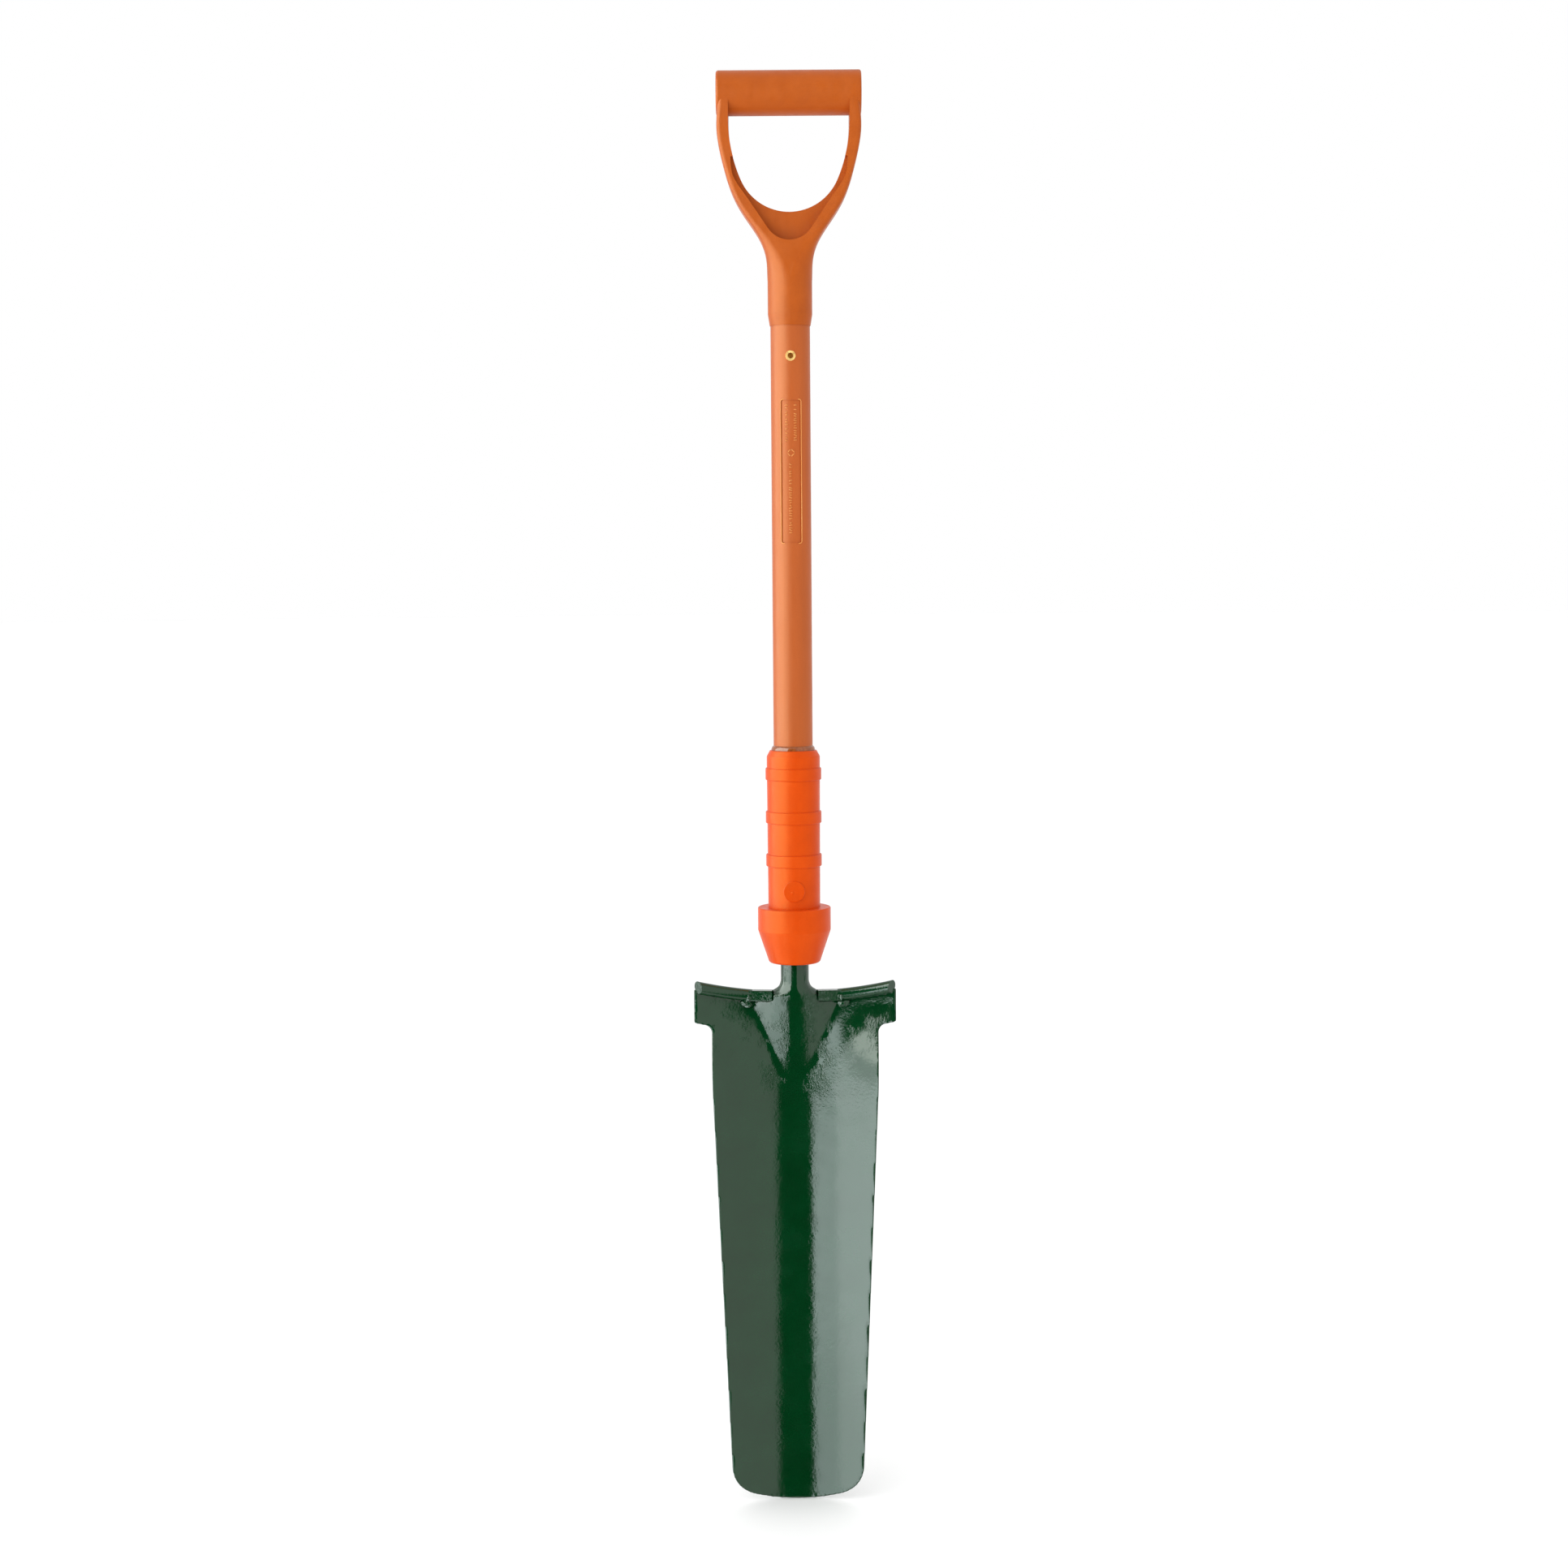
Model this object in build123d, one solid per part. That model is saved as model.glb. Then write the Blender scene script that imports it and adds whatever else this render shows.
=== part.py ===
from build123d import *
import math
import os

# Insulated, treaded draining spade. Millimetres, +Z up along the shaft.
# The origin is the centre of the grip bar, the blade hangs towards -Z and its
# hollow face looks towards -Y.

os.makedirs("parts", exist_ok=True)

# ---- driving dimensions: D handle ----
grip_d = 34.8            # grip bar diameter
grip_edge = 2.0          # rounding at the grip bar's ends
grip_bore = 20.0         # cored hollow of the grip bar
loop_width = 94.0        # hand opening, side to side
leg_width = 9.4          # each leg beside the grip, so the grip bar is this much longer
loop_drop = 91.6         # grip axis to the bottom of the hand opening
loop_bottom_r = 41.0     # radius of the hand opening's bottom
loop_side_drop = 22.0    # grip axis to where the opening's sides start to close
leg_edge = 1.6           # rounding along the inner edges of the legs
web_thickness = 10.0     # web between the legs, under the hand opening
pocket_below_loop = 22.4  # hand opening's bottom to the bottom of the pocket under it
pocket_r = 20.0          # rounding of the pocket's bottom
pocket_slope = 34.0      # lean of the pocket's sides from vertical, degrees
pocket_side = 24.0       # straight part of the pocket's sides
pocket_above_loop = 41.6  # hand opening's bottom up to where the pocket runs out
skirt_wall = 1.9         # wall of the skirt that takes the shaft
skirt_below_loop = 53.4  # hand opening's bottom to where the skirt is fully round
skirt_length = 25.4      # parallel part of the skirt
skirt_taper = 8.8        # height of the skirt's tapered end
skirt_lip = 0.5          # wall left at the skirt's end
skirt_flat = 0.1         # half width of the flats that split the skirt's round section
seat_below_loop = 36.4   # hand opening's bottom to the shaft's upper end, inside the skirt
tang_below_skirt = 46.8  # how far the tang goes on inside the shaft
leg_depth = 33.6         # legs front to back, at the grip
leg_waist = 26.5         # legs front to back, where they are thinnest
# legs from the grip down to the skirt: share of the way down, share of the width
# that is left over the skirt's, depth over the waist's, corner radius
leg_stations = [
    (0.138, 0.987, 5.5, 3.0),
    (0.339, 0.908, 2.0, 3.2),
    (0.517, 0.715, 0.0, 3.6),
    (0.648, 0.459, 0.0, 4.4),
    (0.759, 0.185, 1.5, 6.5),
    (0.841, 0.054, 4.0, 10.0),
]
skirt_neck = 1.6         # the skirt's front and back are this much flatter just above it
skirt_neck_rise = 12.0   # how far above
skirt_neck_corner = 14.5

# ---- driving dimensions: grip plugs ----
plug_head_d = 24.0
plug_head_t = 2.0
plug_stub_length = 9.0
plug_stub_wall = 1.6

# ---- driving dimensions: shaft ----
shaft_d = 31.0           # over the sheath
sheath_wall = 2.5
core_wall = 4.5
shaft_visible = 332.7    # handle skirt's end to the sleeve's top
rivet_below_skirt = 23.9
panel_below_skirt = 58.0
panel_length = 111.0
panel_width = 15.3
panel_depth = 0.8
panel_corner = 1.5
bung_length = 40.0
slip = 0.1               # radial clearance of a slip fit

# ---- driving dimensions: handle rivet ----
handle_rivet_d = 5.8
handle_rivet_bore = 4.5
handle_rivet_bore_depth = 9.0
handle_rivet_flange_d = 8.0
handle_rivet_flange_t = 0.9
handle_rivet_proud = 0.35
handle_rivet_dome = 1.6
handle_rivet_round = 1.28

# ---- driving dimensions: sleeve ----
sleeve_length = 138.1
sleeve_top_wall = 2.9    # over the shaft
sleeve_shoulder = 4.9    # height of the tapered top
sleeve_top_round = 1.0
sleeve_shoulder_round = 2.0
sleeve_upper_wall = 2.9  # over the socket, under the tapered top
sleeve_lower_wall = 2.4  # over the socket, at the sleeve's lower end
sleeve_lip = 3.1         # thickness of the lip over the socket's end
rib_proud = 1.05         # over the sleeve's upper end
rib_height = 9.6
rib_edge = 0.9
rib_count = 3
rib_pitch = 34.4
first_rib = 18.8         # sleeve's top to the first rib's middle
seal_height = 3.7
seal_width = 1.8
seal_crown_height = 2.22  # a point on the bead's rounded outside
seal_crown_width = 1.44
socket_wall = 2.6

# ---- driving dimensions: cross rivet and its plugs ----
cross_rivet_below_top = 110.9
cross_rivet_d = 8.0
cross_rivet_head_d = 12.6
cross_rivet_head_t = 1.7
spot_face = 0.8          # depth of the flat under each head
sleeve_plug_d = 16.8
sleeve_plug_t = 3.1      # socket's outside to the plug's flat face
sleeve_plug_edge = 0.5

# ---- driving dimensions: guard collar ----
collar_flange = 8.4      # how far the collar stands out around the sleeve's lower end
collar_below_top = 125.3  # sleeve's top to the collar's top
collar_band = 18.2        # height of the cylindrical band
collar_height = 44.6
collar_bottom_wall = 3.7  # between the mouth and the collar's lower end
collar_top_round = 1.0
collar_band_round = 2.0
collar_edge = 2.6        # rounding at the collar's lower end
collar_mouth_gap = 5.2   # around the neck, filled with potting
collar_step = 1.2        # ledge that the sleeve's end rests on
potting_recess = 1.0

# ---- driving dimensions: head ----
neck_d = 22.6
neck_visible = 15.2      # collar's bottom to where the shoulders start
socket_floor = 10.1      # sleeve's lower end up to the socket's floor
cone_height = 26.0
plate_t = 4.0
dish_r = 120.0           # radius of the blade's hollow face
plate_set_back = 4.0     # shaft axis back to the hollow face at mid width
ear_r = 340.0            # radius of the flatter front face between the ears
ear_set_back = 0.0       # shaft axis back to that face at mid width
ear_blend_top = 10.0     # shoulders down to where that face starts to turn into the dish
ear_blend_end = 56.0     # shoulders down to where the dish is complete
boss_r = 64.0            # radius across the boss
shoulder_drop = 10.0     # height over which the neck flares into the shoulders
shoulder_round = 5.0     # rounding of the shoulders, out under the treads
shoulder_inset = 0.75    # share of that rounding that is taken off where the ridge starts
flare_stations = (0, 0.35, 0.65, 0.85, 0.96)  # shares of the flare that are drawn
ridge_stations = (0.08, 0.15, 0.3, 0.45, 0.6, 0.75, 0.9, 1)  # and of the ridge
boss_length = 78.0       # shoulders to the point of the boss
ridge_power = 1.6        # how soon the ridge sinks into the blade, 1 is evenly
ridge_ease = 0.03        # share of the boss over which it turns out of the neck
blade_length = 417.0     # top of the shoulders to the tip
ear_half = 80.5
ear_drop = 21.8          # shoulders to the ear's lower outer corner
ear_bottom_rise = 3.4    # the ear's lower edge climbs outwards
ear_corner = 1.8
ear_fillet = 6.5
blade_top_half = 66.6
blade_bend_half = 66.3   # half width where the sides start to taper
blade_bend_drop = 75.0   # shoulders to where the sides start to taper
blade_bend_r = 500.0
blade_tip_half = 52.2    # half width of the sides at the height of the tip
tip_r = 113.0
dish_steps = 8           # sections that the dished length is drawn through
ear_steps = 6            # and those where it turns flatter
tip_corner_r = 27.0

# ---- driving dimensions: treads ----
tread_d = 9.5
tread_inner = 18.5       # half distance between the two treads
tread_block_length = 16.5
tread_block_height = 8.4
tread_block_depth = 8.6
tread_block_edge = 0.8
tread_block_lap = 2.0    # how far the block runs on into the round bar
tread_rise = 8.3         # how far the bar climbs from the block to its end
tread_sag = 0.9          # how far the bar hangs under its chord
tread_drop = 0.8         # shoulders to the block's axis
tread_lap = 2.6          # the plate's edge stands this far under the tread's axis
tread_forward = 4.0      # axis in front of the plate's middle surface
tread_inner_forward = 3.0  # how much further forward it is beside the neck
tread_end_angle = 36.0   # the bar's end is cut to face this far forward, degrees
tread_end_gap = -0.9     # edge of the ear to the end of the bar, which stands out a little
weld_r = 3.0
weld_behind = 0.4        # bead's middle, behind the plate's back face
weld_down = 3.4          # bead's middle, under the tread's axis

# ---- handle width and heights that follow ----
grip_width = loop_width + 2 * leg_width
skirt_top = loop_drop + skirt_below_loop
skirt_end_z = -(skirt_top + skirt_length + skirt_taper)
seat_z = -(loop_drop + seat_below_loop)
tang_end_z = skirt_end_z - tang_below_skirt
handle_rivet_z = skirt_end_z - rivet_below_skirt
panel_top_z = skirt_end_z - panel_below_skirt
sleeve_top_z = skirt_end_z - shaft_visible
sleeve_end_z = sleeve_top_z - sleeve_length
socket_top_z = sleeve_top_z - sleeve_lip
socket_floor_z = sleeve_end_z + socket_floor
cross_rivet_z = sleeve_top_z - cross_rivet_below_top
collar_top_z = sleeve_top_z - collar_below_top
collar_end_z = collar_top_z - collar_height
shoulder_top_z = collar_end_z - neck_visible
shoulder_z = shoulder_top_z - shoulder_drop
boss_end_z = shoulder_z - boss_length
tip_z = shoulder_z - blade_length

# ---- radii that follow ----
shaft_r = shaft_d / 2
skirt_d = shaft_d + 2 * skirt_wall
core_r = shaft_r - sheath_wall
core_bore_r = core_r - core_wall
socket_bore_r = shaft_r + slip
socket_r = socket_bore_r + socket_wall
sleeve_top_r = socket_bore_r + sleeve_top_wall
sleeve_upper_r = socket_r + sleeve_upper_wall
sleeve_lower_r = socket_r + sleeve_lower_wall
sleeve_plug_face = socket_r + sleeve_plug_t
collar_r = sleeve_lower_r + collar_flange
neck_r = neck_d / 2
collar_mouth_r = neck_r + collar_mouth_gap
collar_bottom_r = collar_mouth_r + collar_bottom_wall
plate_front = plate_set_back
plate_back = plate_set_back + plate_t
bar_start = tread_inner + tread_block_length
bar_cut = tread_d / 2 * math.tan(math.radians(tread_end_angle))
bar_end = ear_half - tread_end_gap - bar_cut
weld_back = plate_t / 2 + weld_behind


def post(radius, low, high):
    """Cylinder along Z between two heights."""
    return Pos(0, 0, (low + high) / 2) * Cylinder(radius, high - low)


def cross_pin(radius, near, far, height):
    """Cylinder along Y between two depths."""
    body = Rot(90, 0, 0) * Cylinder(radius, far - near)
    return Pos(0, (near + far) / 2, height) * body


def side_pin(radius, low, high):
    """Cylinder along X on the grip axis."""
    return Pos((low + high) / 2, 0, 0) * (Rot(0, 90, 0) * Cylinder(radius, high - low))


def turned(points, rounds=()):
    """Solid of revolution about Z from (radius, height) points, some corners rounded."""
    outline = make_face(Polyline(*points, close=True))
    for corner, radius in rounds:
        outline = fillet(outline.vertices().sort_by_distance((*corner, 0))[0], radius)
    return revolve(Plane.XZ * outline, Axis.Z)


def flat_cut(face, near, far):
    """Prism of a face drawn in XZ, between two depths along Y."""
    return Pos(0, far, 0) * extrude(face, far - near)


def mirrored(solid):
    """The left-hand copy of a right-hand piece."""
    return mirror(solid, Plane.YZ)


# ---- D handle ----
def loop_face():
    """Hand opening: round bottom, gently curved sides, open up to the grip axis."""
    half = loop_width / 2
    bottom_z = loop_bottom_r - loop_drop
    reach = -loop_side_drop - bottom_z
    side_r = (half**2 + reach**2 - loop_bottom_r**2) / (2 * (half - loop_bottom_r))
    side_x = half - side_r
    turn = math.atan2(reach, -side_x)
    meet, bend = [
        (side_x + side_r * math.cos(a), -loop_side_drop - side_r * math.sin(a))
        for a in (turn, turn / 2)
    ]
    start = (half, -loop_side_drop)
    right = Line((half, 0), start)
    right_side = ThreePointArc(start, bend, meet)
    left_side = mirror(right_side, Plane.YZ)
    bottom = ThreePointArc(meet, (0, -loop_drop), (-meet[0], meet[1]))
    left = mirror(right, Plane.YZ)
    top = Line((-half, 0), (half, 0))
    return Plane.XZ * make_face([right, right_side, bottom, left_side, left, top])


def pocket_face():
    """Pocket in front of the web: a V with a round bottom that runs out into the opening."""
    lean = math.radians(pocket_slope)
    pocket_drop = loop_drop + pocket_below_loop
    centre_z = pocket_r - pocket_drop
    low = (pocket_r * math.cos(lean), centre_z - pocket_r * math.sin(lean))
    high = (low[0] + pocket_side * math.sin(lean), low[1] + pocket_side * math.cos(lean))
    top = (loop_width / 2 - leg_edge, pocket_above_loop - loop_drop)
    ease = (top[1] - high[1]) / 2
    bend = (high[0] + ease * math.tan(lean), high[1] + ease)
    right = Line(low, high)
    right_curve = Bezier(high, bend, (top[0], top[1] - ease), top)
    across = Line(top, (-top[0], top[1]))
    left_curve = mirror(right_curve, Plane.YZ)
    left = mirror(right, Plane.YZ)
    bottom = ThreePointArc((-low[0], low[1]), (0, -pocket_drop), low)
    return Plane.XZ * make_face([right, right_curve, across, left_curve, left, bottom])


def skirt_station(drop, diameter):
    """Round section of the skirt, in the same eight edges as the legs' sections."""
    corner = diameter / 2 - skirt_flat
    return Pos(0, 0, -drop) * RectangleRounded(diameter, diameter, corner)


def legs():
    """Two legs that run together over a web and turn into the round skirt."""
    spread = grip_width - skirt_d
    _, _, _, top_corner = leg_stations[0]
    stations = [RectangleRounded(grip_width, leg_depth, top_corner)]
    for down, share, deeper, corner in leg_stations:
        section = RectangleRounded(skirt_d + share * spread, leg_waist + deeper, corner)
        stations.append(Pos(0, 0, -down * skirt_top) * section)
    section = RectangleRounded(
        skirt_d + skirt_neck / 2, skirt_d - skirt_neck, skirt_neck_corner
    )
    stations.append(Pos(0, 0, skirt_neck_rise - skirt_top) * section)
    stations.append(skirt_station(skirt_top, skirt_d))
    body = loft(stations)
    body -= flat_cut(loop_face(), -grip_width, grip_width)
    for near, far in ((-grip_width, -web_thickness / 2), (web_thickness / 2, grip_width)):
        body -= flat_cut(pocket_face(), near, far)
    return body


def d_handle():
    taper_top = skirt_top + skirt_length
    parallel = loft([skirt_station(skirt_top, skirt_d), skirt_station(taper_top, skirt_d)])
    taper = loft([
        skirt_station(taper_top, skirt_d),
        skirt_station(-skirt_end_z, shaft_d + 2 * skirt_lip),
    ])
    grip = side_pin(grip_d / 2, -grip_width / 2, grip_width / 2)
    grip = fillet(grip.edges().filter_by(GeomType.CIRCLE), grip_edge)
    body = legs() + [parallel, taper, grip]
    body -= post(shaft_r + slip, skirt_end_z, seat_z)
    body += post(core_bore_r - slip, tang_end_z, seat_z)
    body -= side_pin(grip_bore / 2, -grip_width, grip_width)
    for side in (-1, 1):
        seat_far = grip_width / 2 * side
        seat_near = seat_far - plug_head_t * side
        body -= side_pin(plug_head_d / 2, min(seat_near, seat_far), max(seat_near, seat_far))
    return body - handle_rivet_hole()


def grip_plug():
    outer = grip_width / 2
    inner = outer - plug_head_t
    head = side_pin(plug_head_d / 2, inner, outer)
    stub = side_pin(grip_bore / 2, inner - plug_stub_length, inner)
    stub -= side_pin(grip_bore / 2 - plug_stub_wall, inner - plug_stub_length, inner)
    return head + stub


# ---- handle rivet ----
def handle_rivet_hole():
    return cross_pin(handle_rivet_d / 2, -shaft_d, shaft_d, handle_rivet_z)


def handle_rivet_flange():
    """Rolled ring at the front, let into the sheath."""
    face = -shaft_r - handle_rivet_proud
    return cross_pin(
        handle_rivet_flange_d / 2, face, face + handle_rivet_flange_t, handle_rivet_z
    )


def handle_rivet():
    front = -shaft_r - handle_rivet_proud
    back = shaft_r + handle_rivet_dome
    shank = cross_pin(handle_rivet_d / 2, front, shaft_r, handle_rivet_z)
    dome = cross_pin(handle_rivet_flange_d / 2, 0, back, handle_rivet_z)
    dome = fillet(dome.edges().sort_by(Axis.Y)[-1], handle_rivet_round)
    dome -= post(shaft_r, handle_rivet_z - shaft_d, handle_rivet_z + shaft_d)
    body = shank + handle_rivet_flange() + dome
    blind = cross_pin(
        handle_rivet_bore / 2, front, front + handle_rivet_bore_depth, handle_rivet_z
    )
    return body - blind


# ---- shaft ----
def panel_cut():
    """Shallow recess that follows the front of the sheath."""
    ring = post(shaft_r + slip, panel_top_z - panel_length, panel_top_z)
    ring -= post(shaft_r - panel_depth, panel_top_z - panel_length, panel_top_z)
    window = Plane.XZ * Pos(0, panel_top_z - panel_length / 2) * RectangleRounded(
        panel_width, panel_length, panel_corner
    )
    return ring & flat_cut(window, -shaft_d, 0)


def shaft_sheath():
    body = post(shaft_r, socket_floor_z, seat_z) - post(core_r, socket_floor_z, seat_z)
    body -= panel_cut()
    body -= handle_rivet_flange()
    return body - handle_rivet_hole() - cross_rivet_hole()


def shaft_core():
    body = post(core_r, socket_floor_z, seat_z) - post(core_bore_r, socket_floor_z, seat_z)
    return body - handle_rivet_hole() - cross_rivet_hole()


def core_foam():
    return post(core_bore_r, socket_floor_z + bung_length, tang_end_z)


def core_bung():
    bung = post(core_bore_r, socket_floor_z, socket_floor_z + bung_length)
    return bung - cross_rivet_hole()


# ---- cross rivet and its plugs ----
def cross_rivet_hole():
    return cross_pin(cross_rivet_d / 2, -shaft_d, shaft_d, cross_rivet_z)


def cross_rivet_head(near, far):
    return cross_pin(cross_rivet_head_d / 2, near, far, cross_rivet_z)


def cross_rivet():
    under = socket_r - spot_face
    shank = cross_pin(cross_rivet_d / 2, -under, under, cross_rivet_z)
    over = under + cross_rivet_head_t
    return shank + cross_rivet_head(-over, -under) + cross_rivet_head(under, over)


def sleeve_plug_front():
    """Flat-faced plug that closes the sleeve over the rivet's head."""
    body = cross_pin(sleeve_plug_d / 2, -sleeve_plug_face, 0, cross_rivet_z)
    body = fillet(body.edges().sort_by(Axis.Y)[0], sleeve_plug_edge)
    body -= post(socket_r, cross_rivet_z - sleeve_plug_d, cross_rivet_z + sleeve_plug_d)
    return body - cross_rivet_head(spot_face - socket_r - cross_rivet_head_t, 0)


# ---- sleeve, seal and collar ----
def sleeve_envelope():
    """Outside of the sleeve without its ribs, as a full solid."""
    top = (sleeve_top_r, sleeve_top_z)
    shoulder = (sleeve_upper_r, sleeve_top_z - sleeve_shoulder)
    return turned(
        [(0, sleeve_top_z), top, shoulder, (sleeve_lower_r, sleeve_end_z), (0, sleeve_end_z)],
        [(top, sleeve_top_round), (shoulder, sleeve_shoulder_round)],
    )


def insulating_sleeve():
    body = sleeve_envelope()
    for index in range(rib_count):
        middle = sleeve_top_z - first_rib - index * rib_pitch
        rib_r = sleeve_upper_r + rib_proud
        rib = post(rib_r, middle - rib_height / 2, middle + rib_height / 2)
        body += fillet(rib.edges().filter_by(GeomType.CIRCLE), rib_edge)
    body -= post(socket_r, sleeve_end_z, socket_top_z)
    body -= post(shaft_r + slip, socket_top_z, sleeve_top_z)
    reach = 2 * sleeve_upper_r
    return body - cross_pin(sleeve_plug_d / 2, -reach, reach, cross_rivet_z)


def top_seal():
    """Resin bead between the shaft and the sleeve's top."""
    foot = (shaft_r + seal_width, sleeve_top_z)
    crown = (shaft_r + seal_crown_width, sleeve_top_z + seal_crown_height)
    tip = (shaft_r, sleeve_top_z + seal_height)
    edges = [Line((shaft_r, sleeve_top_z), foot), ThreePointArc(foot, crown, tip)]
    edges.append(Line(tip, (shaft_r, sleeve_top_z)))
    return revolve(Plane.XZ * make_face(edges), Axis.Z)


def collar_hollow(low):
    """Space inside the collar under the sleeve."""
    top_r = sleeve_lower_r - collar_step
    return turned([(0, low), (collar_mouth_r, low), (top_r, sleeve_end_z), (0, sleeve_end_z)])


def guard_collar():
    rim = (collar_r, collar_top_z)
    band_end = (collar_r, collar_top_z - collar_band)
    foot = (collar_bottom_r, collar_end_z)
    body = turned(
        [(0, collar_top_z), rim, band_end, foot, (0, collar_end_z)],
        [(rim, collar_top_round), (band_end, collar_band_round), (foot, collar_edge)],
    )
    return body - sleeve_envelope() - collar_hollow(collar_end_z)


def neck_potting():
    return collar_hollow(collar_end_z + potting_recess) - socket_and_neck()


# ---- head ----
def socket_and_neck():
    """Outside of the forging above the shoulders, as a full solid."""
    return turned([
        (0, socket_top_z),
        (socket_r, socket_top_z),
        (socket_r, sleeve_end_z),
        (neck_r, sleeve_end_z - cone_height),
        (neck_r, shoulder_top_z),
        (0, shoulder_top_z),
    ])


def plate_y(height, half, behind):
    """Depth of a point some way behind the blade's front face."""
    top, end = shoulder_z - ear_blend_top, shoulder_z - ear_blend_end
    share = min(1.0, max(0.0, (height - end) / (top - end)))
    share = share**2 * (3 - 2 * share)
    radius = 1 / (share / ear_r + (1 - share) / dish_r)
    front = share * ear_set_back + (1 - share) * plate_front
    return front - radius + math.sqrt((radius + behind) ** 2 - half**2)


def tread_axis_z(half):
    """Height of the tread's axis at a half width: level along the block, then climbing."""
    share = max(0.0, (half - bar_start) / (ear_half - bar_start))
    climb = tread_rise * share - 4 * tread_sag * share * (1 - share)
    return shoulder_z - tread_drop + climb


def boss_station(height, half, front, back, side):
    """Lens-shaped section across the boss; its side edges lie at a depth of their own."""
    left, right = (-half, side), (half, side)
    arcs = [ThreePointArc(left, (0, front), right), ThreePointArc(right, (0, back), left)]
    return Pos(0, 0, height) * make_face(arcs)


def boss():
    """Neck that spreads into the shoulders, then an arched ridge that sinks into the blade."""
    widest = math.sqrt(boss_r * neck_d)
    spread = widest - shoulder_round - neck_r
    stations = []
    for share in flare_stations:
        half = neck_r + spread * (1 - math.sqrt(1 - share**2))
        height = shoulder_top_z - shoulder_drop * share
        stations.append(boss_station(height, half, -neck_r, neck_r, 0))
    half = widest - shoulder_round * shoulder_inset
    stations.append(boss_station(shoulder_z, half, -neck_r, neck_r, 0))
    for share in ridge_stations:
        sunk = 1 - (1 - share) ** ridge_power
        blend = sunk * share * (1 + ridge_ease) / (share + ridge_ease)
        front = -neck_r + blend * (plate_front + neck_r)
        back = neck_r + blend * (plate_back - neck_r)
        half = math.sqrt(boss_r * (back - front))
        height = shoulder_z - boss_length * share
        side = plate_y(height, half, plate_t / 2)
        stations.append(boss_station(height, half, front, back, side))
    return loft(stations)


def blade_outline():
    """Front view of the blade: ears, shoulders, tapering sides and a rounded tip."""
    level = tread_axis_z(0) - tread_lap
    ear_top, ear_middle = [
        (half, tread_axis_z(half) - tread_lap) for half in (ear_half, (bar_start + ear_half) / 2)
    ]
    ear_low = (ear_half, shoulder_z - ear_drop)
    ear_root = (blade_top_half, shoulder_z - ear_drop - ear_bottom_rise)
    bend = (blade_bend_half, shoulder_z - blade_bend_drop)
    side_end = (blade_tip_half, tip_z)
    rim = [
        Line((0, level), (bar_start, level)),
        ThreePointArc((bar_start, level), ear_middle, ear_top),
        Polyline(ear_top, ear_low, ear_root, bend, side_end, (0, tip_z)),
        Line((0, tip_z), (0, level)),
    ]
    half_face = make_face(rim)
    for corner, radius in (
        (ear_low, ear_corner),
        (ear_root, ear_fillet),
        (bend, blade_bend_r),
    ):
        half_face = fillet(half_face.vertices().sort_by_distance((*corner, 0))[0], radius)
    face = half_face + mirror(half_face, Plane.YZ)
    above_tip = Pos(0, tip_z + tip_r) * Circle(tip_r)
    above_tip += Pos(0, tip_z + tip_r + blade_length / 2) * Rectangle(ear_half * 3, blade_length)
    face &= above_tip
    corners = face.vertices().sort_by(Axis.Y)[:2]
    return Plane.XZ * fillet(corners, tip_corner_r)


def blade_station(height):
    """Section across the blade before its outline is cut."""
    half = ear_half + plate_t
    corners = [(side * half, plate_y(height, half, back)) for back in (0, plate_t) for side in (-1, 1)]
    front_left, front_right, back_left, back_right = corners
    front, back = [(0, plate_y(height, 0, behind)) for behind in (0, plate_t)]
    rim = [
        ThreePointArc(front_left, front, front_right),
        Line(front_right, back_right),
        ThreePointArc(back_right, back, back_left),
        Line(back_left, front_left),
    ]
    return Pos(0, 0, height) * make_face(rim)


def blade():
    """Plate that is dished down to its tip and flatter between the ears."""
    low, dished = tip_z - plate_t, shoulder_z - ear_blend_end
    flat, high = shoulder_z - ear_blend_top, shoulder_top_z
    heights = [low + (dished - low) * step / dish_steps for step in range(dish_steps)]
    heights += [dished + (flat - dished) * step / ear_steps for step in range(ear_steps)]
    heights += [flat, (flat + high) / 2, high]
    plate = loft([blade_station(height) for height in heights])
    return plate & flat_cut(blade_outline(), -2 * ear_half, 2 * ear_half)


def head_forging():
    body = boss() + socket_and_neck() + blade()
    body -= post(socket_bore_r, socket_floor_z, socket_top_z)
    body -= cross_rivet_hole()
    for near, far in ((-socket_r * 2, spot_face - socket_r), (socket_r - spot_face, socket_r * 2)):
        body -= cross_rivet_head(near, far)
    for bar in (tread(), mirrored(tread())):
        body -= bar
    return body


# ---- treads ----
def tread_point(half, back=-tread_forward, down=0.0):
    """Point on the tread's axis, or moved square to the plate's middle surface and down."""
    mid_r = ear_r + plate_t / 2
    lean = half / mid_r
    return (
        half + back * lean,
        plate_y(shoulder_z, half, plate_t / 2) + back * math.sqrt(1 - lean**2),
        tread_axis_z(half) - down,
    )


def bar_path(start, end, back=-tread_forward, down=0.0):
    halves = (start, (start + end) / 2, end)
    return ThreePointArc(*[tread_point(half, back, down) for half in halves])


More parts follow.
